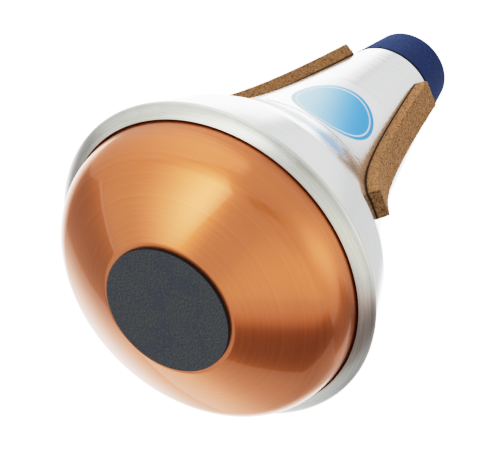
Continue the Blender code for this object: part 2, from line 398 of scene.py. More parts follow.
class Graph:
    """Nodes of one material, or of the surround.

    A Mix node has sockets for every kind of value, so those for colours are found by number.
    """

    MIX_INPUTS = (0, 6, 7)
    MIX_OUTPUT = 2

    def __init__(self, owner: Material | World) -> None:
        """Start with no nodes.

        Args:
            owner: Material or world that the nodes belong to.
        """
        owner.use_nodes = True
        self.owner = owner
        self.tree = owner.node_tree
        self.tree.nodes.clear()

    @classmethod
    def of_material(cls, name: str) -> "Graph":
        """Start a new material."""
        return cls(bpy.data.materials.new(name))

    def add(
        self,
        kind: str,
        settings: dict[str, object] | None = None,
        values: dict[str | int, object] | None = None,
        output: str | int = 0,
    ) -> Link:
        """Add a node.

        Args:
            kind: Type of the node.
            settings: Its properties, which are set first.
            values: Numbers, colours or links of its sockets.
            output: Output to return.

        Returns:
            That output.
        """
        node = self.tree.nodes.new(kind)
        for name, value in (settings or {}).items():
            setattr(node, name, value)
        for key, value in (values or {}).items():
            socket = node.inputs[key]
            if isinstance(value, Link):
                self.tree.links.new(value.socket, socket)
            else:
                socket.default_value = value
        return Link(self, node.outputs[output] if node.outputs else None)

    def place(self) -> Link:
        """Return the place on the piece, in metres."""
        return self.add("ShaderNodeTexCoord", output="Object")

    def parts(self, vector: Link) -> tuple[Link, ...]:
        """Split a vector or colour in its three values."""
        node = self.add("ShaderNodeSeparateXYZ", None, {"Vector": vector}).socket.node
        return tuple(Link(self, output) for output in node.outputs)

    def vector(self, x: Number, y: Number, z: Number) -> Link:
        """Join three values in a vector."""
        return self.add("ShaderNodeCombineXYZ", None, {0: x, 1: y, 2: z})

    def noise(self, vector: Link, scale: float, detail: float = 2.0, roughness: float = 0.5) -> Link:
        """Add a noise pattern from 0 to 1.

        Args:
            vector: Where it is read.
            scale: Waves for each unit of that vector.
            detail: Octaves of finer waves.
            roughness: Share that each octave keeps.

        Returns:
            Its value.
        """
        settings = {"noise_dimensions": "3D"}
        values = {"Vector": vector, "Scale": scale, "Detail": detail, "Roughness": roughness}
        return self.add("ShaderNodeTexNoise", settings, values)

    def mix(self, share: Number, first: object, second: object) -> Link:
        """Mix two colours.

        Args:
            share: Share of the second one.
            first: First colour or link.
            second: Second colour or link.

        Returns:
            The mixed colour.
        """
        def whole(colour: object) -> object:
            """Give a plain colour its alpha."""
            return colour if isinstance(colour, Link) else (*colour, 1)

        values = dict(zip(self.MIX_INPUTS, (share, whole(first), whole(second))))
        return self.add("ShaderNodeMix", {"data_type": "RGBA"}, values, self.MIX_OUTPUT)

    def bump(self, height: Number, depth: float, below: Link | None = None) -> Link:
        """Turn a height into a normal.

        Args:
            height: Height from 0 to 1.
            depth: How far in metres the height of 1 stands over 0.
            below: Normal of a coarser bump that this one lies on.

        Returns:
            The normal.
        """
        values: dict[str | int, object] = {"Strength": 1.0, "Distance": depth, "Height": height}
        if below is not None:
            values["Normal"] = below
        return self.add("ShaderNodeBump", None, values)

    def surface(self, **values: object) -> Material:
        """Finish the material with a Principled shader.

        Args:
            values: Its sockets, with underscores for the spaces of their names.

        Returns:
            The finished material.
        """
        sockets: dict[str | int, object] = {}
        for name, value in values.items():
            plain_colour = isinstance(value, tuple) and len(value) == 3
            sockets[name.replace("_", " ")] = (*value, 1) if plain_colour else value
        shader = self.add("ShaderNodeBsdfPrincipled", None, sockets)
        self.add("ShaderNodeOutputMaterial", None, {"Surface": shader})
        return self.owner


@dataclass(frozen=True)
class SpunMetal:
    """Metal with fine uneven lines round the axis, longer scratches and clear lacquer.

    Attributes:
        stretch: How far the lines smear a highlight across them, from 0 to 1.
        lacquer: Weight of the clear lacquer.
        waviness: Depth of the slow waves that spinning leaves.
        edge_colour: Colour of the reflections at a grazing angle.
        scratching: Weight of the scratches, from 0 to 1.
    """

    name: str
    colour: Colour
    line_colour: Colour
    roughness: float
    line_roughness: float
    pitch: float
    depth: float
    stretch: float
    lacquer: float
    waviness: float = 0.0
    lacquer_ior: float = 1.5
    edge_colour: Colour = (1.0, 1.0, 1.0)
    scratch_colour: Colour = (0.9, 0.9, 0.9)
    scratching: float = 0.0

    LINE_BREAKS = 3.0
    SCRATCH_BREAKS = 2.0
    WAVE_BREAKS = 0.3
    WAVE_PITCH = 3.0 * MM
    COARSE_SCALE = 0.23
    FINE_SHARE, COARSE_SHARE = 0.7, 0.3
    LINE_RANGE = (0.3, 0.7)
    SCRATCH_RANGE = (0.56, 0.74)
    SOIL_SCALE = 38.0
    LINE_TINT, SOIL_TINT = 0.75, 0.2
    LINE_WEAR, SOIL_WEAR = 0.6, 0.4
    ACROSS_LINES = 0.25
    LACQUER_ROUGHNESS = 0.04

    def material(self) -> Material:
        """Make the material.

        Returns:
            The material.
        """
        graph = Graph.of_material(self.name)
        place = graph.place()
        x, y, z = graph.parts(place)
        reach = (x * x + y * y) ** 0.5
        course = graph.vector(reach / self.pitch, z / self.pitch, 0.0)
        around = graph.vector(x / reach, y / reach, 0.0)
        breaks = graph.noise(around, self.LINE_BREAKS, 3.0)
        wander = graph.vector(reach / self.pitch, z / self.pitch, breaks * self.LINE_BREAKS)
        fine = graph.noise(wander, 1.0, 3.0, 0.65)
        coarse = graph.noise(course, self.COARSE_SCALE, 2.0, 0.6)
        lines = (fine * self.FINE_SHARE + coarse * self.COARSE_SHARE).between(*self.LINE_RANGE)
        long_course = graph.vector(reach / self.pitch, z / self.pitch, breaks * self.SCRATCH_BREAKS)
        scratches = graph.noise(long_course, 1.0, 2.0, 0.7).between(*self.SCRATCH_RANGE)
        soil = graph.noise(place, self.SOIL_SCALE, 3.0, 0.6)
        tint = (1 - lines) * self.LINE_TINT + soil * self.SOIL_TINT
        colour = graph.mix(tint, self.colour, self.line_colour)
        colour = graph.mix(scratches * self.scratching, colour, self.scratch_colour)
        wear = lines * self.LINE_WEAR + soil * self.SOIL_WEAR
        normal = graph.bump(lines, self.depth)
        if self.waviness:
            slow = graph.vector(reach / self.WAVE_PITCH, z / self.WAVE_PITCH, breaks * self.WAVE_BREAKS)
            normal = graph.bump(graph.noise(slow, 1.0, 1.0), self.waviness, normal)
        return graph.surface(
            Base_Color=colour, Metallic=1.0, Normal=normal,
            Roughness=self.roughness + (self.line_roughness - self.roughness) * wear,
            Anisotropic=self.stretch, Anisotropic_Rotation=self.ACROSS_LINES, Specular_Tint=self.edge_colour,
            Coat_Weight=self.lacquer, Coat_Roughness=self.LACQUER_ROUGHNESS, Coat_IOR=self.lacquer_ior)


@dataclass(frozen=True)
class DenseFelt:
    """Dense charcoal felt with pores, worn bluish clouds, pale dust and painted shade on its side wall.

    Attributes:
        pore: Usual size of a pore.
        rim: Distance from the axis at which the painted shade of the side wall begins.
    """

    name: str
    colour: Colour
    pore_colour: Colour
    dust_colour: Colour
    cloud_colour: Colour
    shaded_side_colour: Colour
    pore: float
    rim: float

    PORE_RANGE = (0.35, 0.62)
    DUST_SCALE = 0.7
    DUST_RANGE = (0.52, 0.70)
    DUST_SHARE, CLOUD_DUST_SHARE = 0.30, 0.45
    CLOUD_SCALE = 110.0
    CLOUD_RANGE = (0.46, 0.62)
    CLOUD_SHARE = 0.6
    SIDE_SHADE_BLEND = 0.15 * MM
    ROUGHNESS, PORE_ROUGHNESS = 0.78, 0.2
    RELIEF = 0.03 * MM

    def material(self) -> Material:
        """Make the material.

        Returns:
            The material.
        """
        graph = Graph.of_material(self.name)
        place = graph.place()
        pores = graph.noise(place, 1 / self.pore, 3.0, 0.7)
        dust = graph.noise(place, self.DUST_SCALE / self.pore, 4.0, 0.8).between(*self.DUST_RANGE)
        cloud = graph.noise(place, self.CLOUD_SCALE, 3.0)
        x, y, _ = graph.parts(place)
        # Painted shade: the side wall and the outer part of the top edge's rounding are darkened to near
        # black.
        side = ((x * x + y * y) ** 0.5).between(self.rim, self.rim + self.SIDE_SHADE_BLEND)
        colour = graph.mix(pores.between(*self.PORE_RANGE), self.pore_colour, self.colour)
        colour = graph.mix(cloud.between(*self.CLOUD_RANGE) * self.CLOUD_SHARE, colour, self.cloud_colour)
        dusting = dust * (self.DUST_SHARE + cloud * self.CLOUD_DUST_SHARE)
        colour = graph.mix(dusting, colour, self.dust_colour)
        colour = graph.mix(side, colour, self.shaded_side_colour)
        return graph.surface(
            Base_Color=colour, Roughness=self.ROUGHNESS + pores * self.PORE_ROUGHNESS,
            Normal=graph.bump(pores, self.RELIEF), Sheen_Weight=0.1, Sheen_Roughness=0.4,
            Specular_IOR_Level=0.25)


@dataclass(frozen=True)
class PressedFelt:
    """Pressed felt with short tangled fibres, darker between them, with painted shade along its foot.

    Attributes:
        fibre: Usual thickness of a tuft.
        foot: Height at which it sits on the metal, where the painted shade along its foot lies.
    """

    name: str
    colour: Colour
    deep_and_foot_shade_colour: Colour
    fibre_colour: Colour
    fibre: float
    foot: float

    BEND_SCALE = 150.0
    BEND = 2 * MM
    LEVEL, LEANING = (0.5, 0.5, 1.6), (1.5, 1.5, 0.5)
    TUFT_RANGE = (0.36, 0.62)
    FLECK_SCALE = 0.8
    FLECK_RANGE = (0.6, 0.78)
    FLECK_SHARE = 0.6
    FOOT_SHADE_RANGE = (0.4 * MM, 1.1 * MM)
    ROUGHNESS, TUFT_ROUGHNESS = 0.85, 0.15
    RELIEF = 0.18 * MM

    def material(self) -> Material:
        """Make the material.

        Returns:
            The material.
        """
        graph = Graph.of_material(self.name)
        place = graph.place()
        x, y, z = graph.parts(place)
        bend = graph.noise(place, self.BEND_SCALE, 2.0) * self.BEND
        level = graph.vector(x * self.LEVEL[0], y * self.LEVEL[1], z * self.LEVEL[2] + bend)
        leaning = graph.vector(x * self.LEANING[0], y * self.LEANING[1] + bend, z * self.LEANING[2])
        level_tufts = graph.noise(level, 1 / self.fibre, 3.0, 0.6)
        tufts = level_tufts * 0.5 + graph.noise(leaning, 1 / self.fibre, 3.0, 0.6) * 0.5
        flecks = graph.noise(leaning, self.FLECK_SCALE / self.fibre, 4.0, 0.75).between(*self.FLECK_RANGE)
        # Painted shade: the band just above the foot, where the collar meets the neck, takes the deep colour.
        clear_of_foot_shade = z.between(*(self.foot + edge for edge in self.FOOT_SHADE_RANGE))
        colour = graph.mix(tufts.between(*self.TUFT_RANGE), self.deep_and_foot_shade_colour, self.colour)
        colour = graph.mix(flecks * self.FLECK_SHARE, colour, self.fibre_colour)
        colour = graph.mix(clear_of_foot_shade, self.deep_and_foot_shade_colour, colour)
        return graph.surface(
            Base_Color=colour, Roughness=self.ROUGHNESS + tufts * self.TUFT_ROUGHNESS,
            Normal=graph.bump(tufts, self.RELIEF), Sheen_Weight=0.18, Sheen_Roughness=0.5,
            Sheen_Tint=(0.6, 0.78, 1.0), Specular_IOR_Level=0.08)


@dataclass(frozen=True)
class PressedCork:
    """Cork granules pressed together, with bark and orange specks, and painted shadow along the metal.

    Attributes:
        granule: Usual size of a granule.
        dark: Colour of the seams and of the bark specks.
        contact_shadow: Colour of the painted shadow along the metal.
    """

    name: str
    granule: float
    light: Colour
    middle: Colour
    dark: Colour
    speck: Colour
    contact_shadow: Colour

    STAND = "above_flare"
    WARP_SCALE = 900.0
    WARP = (0.7 * MM, -0.6 * MM, 0.5 * MM)
    GRAIN_SCALE = 2600.0
    TONE_SHARE, GRAIN_SHARE, TONE_RANGE = 0.7, 0.45, (0.1, 1.0)
    BARK_RANGE, BARK_SHARE = (0.80, 0.86), 0.8
    SPECK_RANGE, SPECK_SHARE = (0.88, 0.93), 0.75
    SEAM_RANGE, SEAM_SHARE = (0.0, 0.12), 0.55
    CONTACT_SHADOW_RANGE = (0.15 * MM, 0.75 * MM)
    SEAM_SLOPE = (0.0, 0.2)
    SEAM_HEIGHT, TONE_HEIGHT, GRAIN_HEIGHT = 0.6, 0.2, 0.2
    ROUGHNESS, GRAIN_ROUGHNESS = 0.72, 0.22
    RELIEF = 0.09 * MM

    def material(self) -> Material:
        """Make the material, which reads how far each point stands above the flare.

        Returns:
            The material.
        """
        graph = Graph.of_material(self.name)
        place = graph.place()
        warp = graph.noise(place, self.WARP_SCALE, 2.0)
        shift = graph.vector(*(warp * part for part in self.WARP))
        moved = graph.add("ShaderNodeVectorMath", {"operation": "ADD"}, {0: place, 1: shift})
        pattern = {"Vector": moved, "Scale": 1 / self.granule}
        tone, kind, other = graph.parts(graph.add("ShaderNodeTexVoronoi", None, pattern, "Color"))
        seams = graph.add("ShaderNodeTexVoronoi", {"feature": "DISTANCE_TO_EDGE"}, pattern)
        grain = graph.noise(place, self.GRAIN_SCALE, 3.0, 0.7)
        stand = graph.add("ShaderNodeAttribute", {"attribute_name": self.STAND}, output="Fac")
        lightness = (tone * self.TONE_SHARE + grain * self.GRAIN_SHARE).between(*self.TONE_RANGE)
        colour = graph.mix(lightness, self.middle, self.light)
        colour = graph.mix(kind.between(*self.BARK_RANGE) * self.BARK_SHARE, colour, self.dark)
        colour = graph.mix(other.between(*self.SPECK_RANGE) * self.SPECK_SHARE, colour, self.speck)
        colour = graph.mix((1 - seams.between(*self.SEAM_RANGE)) * self.SEAM_SHARE, colour, self.dark)
        # Painted shadow: the strip is darkened where it stands within about 0.75 mm of the flare.
        colour = graph.mix(stand.between(*self.CONTACT_SHADOW_RANGE), self.contact_shadow, colour)
        height = seams.between(*self.SEAM_SLOPE) * self.SEAM_HEIGHT + tone * self.TONE_HEIGHT
        height = height + grain * self.GRAIN_HEIGHT
        return graph.surface(
            Base_Color=colour, Roughness=self.ROUGHNESS + grain * self.GRAIN_ROUGHNESS,
            Normal=graph.bump(height, self.RELIEF), Specular_IOR_Level=0.12)


@dataclass(frozen=True)
class PrintedFilm:
    """Clear film on the polished metal, with a plain printed oval and a thin ring inside its edge.

    Attributes:
        facing: Direction round the axis that the oval's middle faces, in radians.
        half_width: Half of the oval's width, along the surface.
        film: Colour of the metal through the bare film.
        deep: Colour of the print at one end of the oval, which runs to pale at the other.
    """

    name: str
    facing: float
    middle: float
    half_width: float
    half_height: float
    film: Colour
    ring: Colour
    deep: Colour
    pale: Colour

    EDGE = 0.012
    RING_INSIDE, RING_OUTSIDE = (0.86, 0.875), (0.905, 0.92)
    RING_SHARE = 0.9
    FADE_SLANT, FADE_RANGE = 0.2, (0.1, 0.9)
    GRAIN_SCALE = 1500.0
    RELIEF = 0.002 * MM
    FILM_ROUGHNESS = 0.26
    PRINT_ROUGHNESS = 0.5
    GRAIN_ROUGHNESS = 0.03

    def material(self) -> Material:
        """Make the material.

        Returns:
            The material.
        """
        graph = Graph.of_material(self.name)
        place = graph.place()
        x, y, z = graph.parts(place)
        turned_x = x * math.cos(self.facing) + y * math.sin(self.facing)
        turned_y = y * math.cos(self.facing) - x * math.sin(self.facing)
        angle = graph.add("ShaderNodeMath", {"operation": "ARCTAN2"}, {0: turned_y, 1: turned_x})
        across = angle * (x * x + y * y) ** 0.5 / self.half_width
        along = (z - self.middle) / self.half_height
        reach = (across * across + along * along) ** 0.5
        oval = 1 - reach.between(1 - self.EDGE, 1 + self.EDGE)
        ring = reach.between(*self.RING_INSIDE) * (1 - reach.between(*self.RING_OUTSIDE))
        grain = graph.noise(place, self.GRAIN_SCALE, 2.0)
        fading = (across * 0.5 + 0.5 + along * self.FADE_SLANT).between(*self.FADE_RANGE)
        printed = graph.mix(ring * self.RING_SHARE, graph.mix(fading, self.pale, self.deep), self.ring)
        roughness = self.FILM_ROUGHNESS + oval * (self.PRINT_ROUGHNESS - self.FILM_ROUGHNESS)
        roughness = roughness + grain * self.GRAIN_ROUGHNESS
        return graph.surface(
            Base_Color=graph.mix(oval, self.film, printed), Roughness=roughness, Metallic=1 - oval,
            Normal=graph.bump(grain, self.RELIEF), Specular_IOR_Level=0.06)


Finish = Union[SpunMetal, DenseFelt, PressedFelt, PressedCork, PrintedFilm]


@dataclass(frozen=True)
class Datums:
    """Heights and radii that the pieces share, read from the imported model."""

    length: float
    rim_radius: float
    rim_height: float
    lip_height: float
    body_seat: float
    body_rim_radius: float
    neck_height: float
    collar_seat_radius: float
    spigot_height: float
    flange_radius: float
    pad_radius: float
    pad_thickness: float

    @classmethod
    def read(cls) -> "Datums":
        """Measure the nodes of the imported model.

        Returns:
            What they share.
        """
        ring, body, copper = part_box("rim_ring"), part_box("body_shell"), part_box("copper_end")
        pad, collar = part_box("end_pad"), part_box("tip_collar")
        return cls(
            length=PACKED_BOX[1].z, rim_radius=ring[1].x, rim_height=ring[1].z, lip_height=ring[0].z,
            body_seat=body[0].z, body_rim_radius=body[1].x, neck_height=body[1].z,
            collar_seat_radius=collar[1].x, spigot_height=collar[0].z, flange_radius=copper[1].x,
            pad_radius=pad[1].x, pad_thickness=pad[1].z)


class Piece:
    """Sub-assembly with one mesh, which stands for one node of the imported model."""

    NODE: str
    SLOT: str
    finish: Finish

    @staticmethod
    def fit(piece: Object, node: str, slot: str, material: Material) -> None:
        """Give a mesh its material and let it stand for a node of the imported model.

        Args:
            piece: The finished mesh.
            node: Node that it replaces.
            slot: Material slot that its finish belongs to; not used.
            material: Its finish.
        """
        piece.data.materials.clear()
        piece.data.materials.append(material)
        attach(piece, "root")
        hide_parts(node)
        log.info("%s stands for %s: %d faces", piece.name, node, len(piece.data.polygons))

    def dress(self, piece: Object) -> None:
        """Smooth the mesh and give it its finish."""
        Bench.smooth(piece)
        self.fit(piece, self.NODE, self.SLOT, self.finish.material())


@dataclass
class SpunBody(Piece):
    """Aluminium body, spun from the neck down the flare and the shoulder to an inward flange."""

    NODE, SLOT = "body_shell", "polished_aluminium"

    datums: Datums
    wall: float = 0.8 * MM
    shoulder_height: float = 18.0 * MM
    shoulder_inset: float = 6.4 * MM
    shoulder_fillet: float = 3.0 * MM
    shoulder_taper: float = 0.511
    neck_radius: float = 16.5 * MM
    neck_taper: float = 0.183
    neck_pull: float = 0.855
    shoulder_pull: float = 0.2
    flange_width: float = 4.7 * MM
    rim_fillet: float = 0.4 * MM
    flare_steps: int = 84
    fillet_steps: int = 14
    finish: SpunMetal = SpunMetal(
        name="polished_aluminium", colour=(0.92, 0.925, 0.93), line_colour=(0.80, 0.81, 0.82),
        roughness=0.14, line_roughness=0.22, pitch=0.5 * MM, depth=0.0012 * MM, stretch=0.6,
        lacquer=0.3, waviness=0.06 * MM)

    def outside(self) -> Outline:
        """Draw the outer side of the body.

        Returns:
            Its outline, from the neck to the rim.
        """
        neck = (self.neck_radius, self.datums.neck_height)
        rim = (self.datums.body_rim_radius, self.datums.body_seat)
        shoulder = (rim[0] - self.shoulder_inset, rim[1] + self.shoulder_height)
        neck_reach = self.neck_pull * (neck[1] - shoulder[1])
        shoulder_reach = self.shoulder_pull * (neck[1] - shoulder[1])
        neck_handle = (neck[0] + self.neck_taper * neck_reach, neck[1] - neck_reach)
        shoulder_handle = (shoulder[0] - self.shoulder_taper * shoulder_reach, shoulder[1] + shoulder_reach)
        flare = Outline.bezier((neck, neck_handle, shoulder_handle, shoulder), self.flare_steps)
        crease = Outline.fillet(shoulder_handle, shoulder, rim, self.shoulder_fillet, self.fillet_steps)
        top_of_crease = crease.points[0][1]
        flare = Outline(point for point in flare.points if point[1] > top_of_crease)
        return flare + crease + Outline([rim])

    def build(self) -> Object:
        """Spin the body, with a rounded rim and a flange inside it.

        Returns:
            The closed shell.
        """
        outside = self.outside()
        rim = outside.points[-1]
        flange_end = (rim[0] - self.flange_width, rim[1])
        corner = Outline.fillet(outside.points[-2], rim, flange_end, self.rim_fillet, self.fillet_steps // 2)
        skin = Outline(outside.points[:-1]) + corner + Outline([flange_end])
        lining = Outline(outside.points + [flange_end]).offset(-self.wall)
        return Bench.sweep("spun_body", skin + lining.backwards(), closed=True)


@dataclass
class CopperEnd(Piece):
    """Copper dish, spun from its rim flange down the skirt and the flank to the flat seat."""

    NODE, SLOT = "copper_end", "spun_copper"

    datums: Datums
    wall: float = 0.6 * MM
    radius: float = 49.5 * MM
    seat_margin: float = 1.4 * MM
    flank_radius: float = 103.0 * MM
    corner_radius: float = 15.0 * MM
    skirt_length: float = 5.3 * MM
    skirt_fillet: float = 0.5 * MM
    seat_fillet: float = 2.0 * MM
    hub_radius: float = 2.0 * MM
    corner_steps: int = 36
    flank_steps: int = 32
    fillet_steps: int = 8
    finish: SpunMetal = SpunMetal(
        name="spun_copper", colour=(0.77, 0.250, 0.077), line_colour=(0.68, 0.200, 0.055),
        roughness=0.26, line_roughness=0.36, pitch=0.34 * MM, depth=0.0018 * MM, stretch=0.8,
        lacquer=1.0, lacquer_ior=1.6, edge_colour=(1.0, 0.88, 0.79), scratch_colour=(0.92, 0.40, 0.15),
        scratching=0.2)

    def outside(self) -> Outline:
        """Draw the outer side of the dish.

        Returns:
            Its outline, from the flange to the middle of the seat.
        """
        floor = self.datums.pad_thickness
        flange_height = self.datums.rim_height - self.wall
        flange_edge = (self.datums.flange_radius, flange_height)
        flange_corner = (self.radius, flange_height)
        corner_centre = (self.radius - self.corner_radius, flange_height - self.skirt_length)
        seat_edge = (self.datums.pad_radius + self.seat_margin, floor)
        angle = self.flank_angle(seat_edge, corner_centre)
        spacing = self.flank_radius - self.corner_radius
        flank_centre = (
            corner_centre[0] - spacing * math.cos(angle), corner_centre[1] + spacing * math.sin(angle))
        seat_angle = math.atan2(seat_edge[1] - flank_centre[1], seat_edge[0] - flank_centre[0])
        skirt_foot = (self.radius, corner_centre[1])
        hub = (self.hub_radius, floor)
        fillet = Outline.fillet(flange_edge, flange_corner, skirt_foot, self.skirt_fillet, self.fillet_steps)
        corner = Outline.arc(corner_centre, self.corner_radius, 0, -angle, self.corner_steps)
        flank = Outline.arc(flank_centre, self.flank_radius, -angle, seat_angle, self.flank_steps)
        edge = Outline.fillet(flank.points[-2], seat_edge, hub, self.seat_fillet, self.fillet_steps)
        kept = [point for point in flank.points[1:] if point[0] > edge.points[0][0]]
        return Outline([flange_edge]) + fillet + corner + Outline(kept) + edge + Outline([hub])

    def flank_angle(self, seat_edge: Point, corner_centre: Point) -> float:
        """Find where the flank runs into its corner.

        Args:
            seat_edge: Edge of the flat seat, where the flank begins.
            corner_centre: Centre of the corner's arc.

        Returns:
            Angle of that place below the horizontal, in radians.
        """
        across = corner_centre[0] - seat_edge[0]
        up = corner_centre[1] - seat_edge[1]
        reach = math.hypot(across, up)
        spacing = self.flank_radius - self.corner_radius
        along_normal = (reach ** 2 + spacing ** 2 - self.flank_radius ** 2) / (2 * spacing)
        return math.acos(along_normal / reach) - math.atan2(up, across)

    def build(self) -> Object:
        """Spin the dish, from the outer side of its seat round the flange to the inner side.

        Returns:
            The closed shell.
        """
        outside = self.outside()
        inside = outside.offset(-self.wall)
        return Bench.sweep("spun_copper_end", outside.backwards() + inside, closed=False)


@dataclass
class TurnedRing(Piece):
    """Ring that clamps the copper flange, with a crowned face from its lip to its widest edge."""

    NODE, SLOT = "rim_ring", "turned_aluminium"

    datums: Datums
    face_width: float = 4.45 * MM
    crown: float = 0.45 * MM
    lip_fillet: float = 0.25 * MM
    edge_fillet: float = 0.35 * MM
    back_wall: float = 1.55 * MM
    back_edge: float = 0.8 * MM
    back_taper: float = 0.25 * MM
    floor_drop: float = 0.9 * MM
    crown_steps: int = 22
    fillet_steps: int = 6
    finish: SpunMetal = SpunMetal(
        name="turned_aluminium", colour=(0.86, 0.88, 0.845), line_colour=(0.53, 0.55, 0.525),
        roughness=0.24, line_roughness=0.38, pitch=0.5 * MM, depth=0.006 * MM, stretch=0.6,
        lacquer=0.0, scratch_colour=(0.95, 0.95, 0.93), scratching=0.5)

    def build(self) -> Object:
        """Turn the ring.

        Returns:
            The closed solid.
        """
        rim, top = self.datums.rim_radius, self.datums.rim_height
        floor = top - self.floor_drop
        widest = (rim, top - self.back_edge)
        lip = (rim - self.face_width, self.datums.lip_height)
        bore_end = (lip[0], floor)
        recess = rim - self.back_wall
        back = (rim - self.back_taper, top)
        face = Outline.bowed(widest, lip, self.crown, self.crown_steps)
        back_corner = Outline.fillet((recess, top), back, widest, self.lip_fillet, self.fillet_steps)
        edge = Outline.fillet(back, widest, face.points[1], self.edge_fillet, self.fillet_steps)
        lip_corner = Outline.fillet(face.points[-2], lip, bore_end, self.lip_fillet, self.fillet_steps)
        kept = [point for point in face.points[:-1] if point[1] < edge.points[-1][1]]
        outline = Outline([(recess, top)]) + back_corner + edge + Outline(kept) + lip_corner
        outline += Outline([bore_end, (recess, floor)])
        return Bench.sweep("turned_ring", outline, closed=True)


@dataclass
class EndPad(Piece):
    """Round felt pad on the copper seat, which the mute stands on."""

    NODE, SLOT = "end_pad", "pad_felt"

    datums: Datums
    edge: float = 0.3 * MM
    hub_radius: float = 0.5 * MM
    rings: int = 60
    fillet_steps: int = 4
    finish: DenseFelt = DenseFelt(
        name="pad_felt", colour=(0.275, 0.298, 0.320), pore_colour=(0.145, 0.160, 0.180),
        dust_colour=(0.62, 0.63, 0.64), cloud_colour=(0.165, 0.190, 0.270), shaded_side_colour=(0.016, 0.013, 0.012),
        pore=0.55 * MM, rim=20.80 * MM)

    def build(self) -> Object:
        """Turn the pad, with rings of points across its underside.

        Returns:
            The closed solid.
        """
        radius, thickness = self.datums.pad_radius, self.datums.pad_thickness
        flat = radius - self.edge - self.hub_radius
        under = [(self.hub_radius + flat * step / self.rings, 0.0) for step in range(self.rings)]
        lower = Outline.fillet((0, 0), (radius, 0), (radius, thickness), self.edge, self.fillet_steps)
        upper = Outline.fillet((radius, 0), (radius, thickness), (0, thickness), self.edge, self.fillet_steps)
        outline = Outline(under) + lower + upper + Outline([(self.hub_radius, thickness)])
        return Bench.sweep("charcoal_pad", outline, closed=False)

    def dress(self, piece: Object) -> None:
        super().dress(piece)


@dataclass
class TipCollar(Piece):
    """Felt collar in the open tip: a nose on the neck, a spigot inside it and a bore."""

    NODE, SLOT = "tip_collar", "collar_felt"

    datums: Datums
    length: float = 17.3 * MM
    tip_radius: float = 13.6 * MM
    tip_rounding: float = 0.6 * MM
    bore_radius: float = 10.2 * MM
    spigot_wall: float = 3.2 * MM
    spigot_radius: float = 15.387 * MM
    foot_rounding: float = 0.4 * MM
    foot_taper: float = 0.6 * MM
    nose_steps: int = 48
    fillet_steps: int = 8
    finish: PressedFelt = PressedFelt(
        name="collar_felt", colour=(0.021, 0.054, 0.200), deep_and_foot_shade_colour=(0.007, 0.014, 0.060),
        fibre_colour=(0.27, 0.38, 0.60), fibre=0.4 * MM, foot=142.5 * MM)

    def build(self) -> Object:
        """Turn the collar.

        Returns:
            The closed solid.
        """
        top, spigot_end = self.datums.length, self.datums.spigot_height
        seat = top - self.length
        nose_foot = (self.datums.collar_seat_radius - self.foot_taper, seat)
        nose_edge = (self.tip_radius, top)
        bore_edge = (self.bore_radius, top)
        bore_foot = (self.spigot_radius - self.spigot_wall, spigot_end)
        inner = Outline.fillet(bore_foot, bore_edge, nose_edge, self.tip_rounding, self.fillet_steps)
        outer = Outline.fillet(bore_edge, nose_edge, nose_foot, self.tip_rounding, self.fillet_steps)
        foot = Outline.fillet(
            nose_edge, nose_foot, (self.spigot_radius, seat), self.foot_rounding, self.fillet_steps)
        nose = Outline([outer.points[-1], foot.points[0]])
        side = nose.stations(0, math.dist(*nose.points), self.nose_steps)
        bore = Outline([bore_foot, inner.points[0]])
        throat = bore.stations(0, math.dist(*bore.points), self.nose_steps)
        outline = throat + Outline(inner.points[1:]) + outer + Outline(side.points[1:-1]) + foot
        outline += Outline([(self.spigot_radius, seat), (self.spigot_radius, spigot_end)])
        return Bench.sweep("felt_collar", outline, closed=True)


